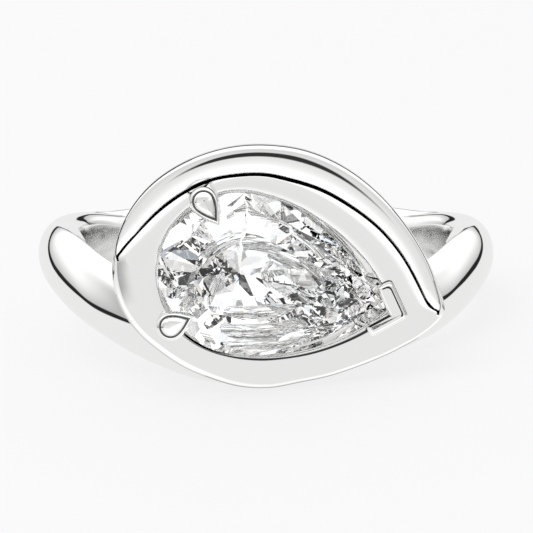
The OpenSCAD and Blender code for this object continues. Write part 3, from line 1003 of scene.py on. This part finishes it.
class RingStone(bpy.types.PropertyGroup):
    length: FloatProperty(
        name="Length",
        description="Length of the stone, in mm",
        default=10.0,
    )
    width: FloatProperty(
        name="Width",
        description="Width of the stone, in mm",
        default=6.8,
    )
    crown: FloatProperty(
        name="Crown",
        description="Height of the crown above the girdle, in mm",
        default=1.05,
    )
    pavilion: FloatProperty(
        name="Pavilion",
        description="Depth of the pavilion below the girdle, in mm",
        default=2.95,
    )
    girdle: FloatProperty(
        name="Girdle",
        description="Thickness of the girdle, in mm",
        default=0.14,
    )
    table: FloatProperty(
        name="Table",
        description="Table's share of the stone's width",
        default=0.56, subtype="FACTOR", min=0, max=1,
    )
    upper_slope: FloatProperty(
        name="Upper edge slope",
        description="Steepness of the facets over the girdle, against the main facets",
        default=1.25,
    )


class RingFinish(bpy.types.PropertyGroup):
    metal_colour: FloatVectorProperty(
        name="Metal",
        description="Colour of the white gold",
        subtype="COLOR", default=(0.95, 0.95, 0.945), min=0, max=1,
    )
    metal_roughness: FloatProperty(
        name="Metal roughness",
        description="Highest roughness of the polished metal",
        default=0.05, subtype="FACTOR", min=0, max=1,
    )
    stone_ior: FloatProperty(
        name="Stone's refraction",
        description="Index of refraction of the stone",
        default=2.65, min=1, max=4,
    )


class RingStage(bpy.types.PropertyGroup):
    floor_colour: FloatVectorProperty(
        name="Floor",
        description="Colour of the floor",
        subtype="COLOR", default=(0.15, 0.15, 0.15), min=0, max=1,
    )
    floor_size: FloatProperty(
        name="Floor size",
        description="Width of the floor",
        default=3.0, unit="LENGTH",
    )
    lens: FloatProperty(
        name="Lens",
        description="Focal length of the camera, in mm",
        default=370.9,
    )


class RING_OT_band(bpy.types.Operator):
    """Builds the band with its head, plate and raised rim as one casting"""
    bl_idname = "ring.band"
    bl_label = "Band"

    def execute(self, context):
        gap = context.scene.ring_setting.gap
        band = head_block()
        band.name = "band_casting"
        combine(band, shank(), "UNION")
        for claw in CLAWS:
            combine(band, claw_post(claw, gap), "DIFFERENCE")
        combine(band, vee_claw(gap * VEE_CLEARANCE, VEE_ROOM), "DIFFERENCE")
        shade_hollows(band)
        finish_piece(band, "band", white_gold())
        bpy.ops.object.shade_smooth_by_angle(angle=SMOOTH_ANGLE)
        return {"FINISHED"}


class RING_OT_setting(bpy.types.Operator):
    """Builds the claw setting: the rail, two round claws and the angled claw"""
    bl_idname = "ring.setting"
    bl_label = "Setting"

    def execute(self, context):
        setting = rail()
        setting.name = "claw_setting"
        for claw in CLAWS:
            combine(setting, claw_post(claw), "UNION")
            combine(setting, claw_drop(claw), "UNION")
        combine(setting, vee_claw(), "UNION")
        combine(setting, cut_stone("seat", context.scene.ring_setting.gap), "DIFFERENCE")
        finish_piece(setting, "setting", bpy.data.materials["Polished white gold"])
        bpy.ops.object.shade_smooth_by_angle(angle=SMOOTH_ANGLE)
        return {"FINISHED"}


class RING_OT_stone(bpy.types.Operator):
    """Cuts the pear-shaped stone"""
    bl_idname = "ring.stone"
    bl_label = "Stone"

    def execute(self, context):
        finish_piece(cut_stone("pear_stone"), "stone", clear_stone())
        bpy.ops.object.shade_flat()
        return {"FINISHED"}


class RING_OT_stage(bpy.types.Operator):
    """Sets out the floor, the soft light, the studio and the camera"""
    bl_idname = "ring.stage"
    bl_label = "Stage"

    def execute(self, context):
        scene = context.scene
        stage = scene.ring_stage
        clear()
        bpy.ops.mesh.primitive_plane_add(size=stage.floor_size, location=(0, 0, CAD_BOX[0].z))
        floor = context.object
        floor.name = "floor"
        bpy.ops.object.transform_apply(location=True, rotation=True, scale=True)
        material, _, shader = new_material("Pale floor")
        shader.inputs["Base Color"].default_value = (*stage.floor_colour, 1)
        shader.inputs["Roughness"].default_value = 0.9
        shader.inputs["Specular IOR Level"].default_value = 0.1
        shader.inputs["Emission Color"].default_value = WHITE
        shader.inputs["Emission Strength"].default_value = FLOOR_GLOW
        floor.data.materials.append(material)
        floor.visible_glossy = False
        floor.visible_transmission = False
        floor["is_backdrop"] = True

        studio_world()
        bpy.ops.object.light_add(type="AREA", location=KEY_AT)
        key = context.object
        key.name = "soft_key"
        key.rotation_euler = (-KEY_AT).to_track_quat("-Z", "Y").to_euler()
        key.data.size = KEY_SIZE
        key.data.energy = KEY_POWER
        key.visible_glossy = False
        key.visible_transmission = False

        ahead, above = LAID.to_3x3() @ AHEAD, LAID.to_3x3() @ ABOVE
        bpy.ops.object.camera_add(location=LAID @ AIM * MM - ahead * CAMERA_AWAY)
        camera = context.object
        camera.rotation_euler = Matrix((ahead.cross(above), above, -ahead)).transposed().to_euler()
        camera.data.lens = stage.lens
        camera.data.sensor_width = 36
        scene.camera = camera
        scene.cycles.max_bounces = 24
        scene.cycles.glossy_bounces = 16
        scene.cycles.transmission_bounces = 16
        scene.view_settings.view_transform = "Standard"
        return {"FINISHED"}


class RING_PT_panel(bpy.types.Panel):
    bl_label = "Pear-cut stone ring"
    bl_idname = "RING_PT_panel"
    bl_space_type = "VIEW_3D"
    bl_region_type = "UI"
    bl_category = "Ring"

    def draw(self, context):
        scene = context.scene
        for group, operator in (
            (scene.ring_band, "ring.band"),
            (scene.ring_setting, "ring.setting"),
            (scene.ring_stone, "ring.stone"),
            (scene.ring_finish, None),
            (scene.ring_stage, "ring.stage"),
        ):
            box = self.layout.box()
            for name in group.__annotations__:
                box.prop(group, name)
            if operator:
                box.operator(operator)


GROUPS = {
    "ring_band": RingBand,
    "ring_setting": RingSetting,
    "ring_stone": RingStone,
    "ring_finish": RingFinish,
    "ring_stage": RingStage,
}
CLASSES = [
    *GROUPS.values(), RING_OT_band, RING_OT_setting, RING_OT_stone, RING_OT_stage, RING_PT_panel
]


def register():
    for cls in CLASSES:
        bpy.utils.register_class(cls)
    for name, group in GROUPS.items():
        setattr(bpy.types.Scene, name, PointerProperty(type=group))


def unregister():
    for name in GROUPS:
        delattr(bpy.types.Scene, name)
    for cls in reversed(CLASSES):
        bpy.utils.unregister_class(cls)


def main():
    register()
    bpy.ops.ring.band()
    bpy.ops.ring.setting()
    bpy.ops.ring.stone()
    bpy.ops.ring.stage()
    boxes = {"cad": CAD_BOX, "visual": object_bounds()}
    {name: [list(corner) for corner in box] for name, box in boxes.items()}


if __name__ == "__main__":
    main()
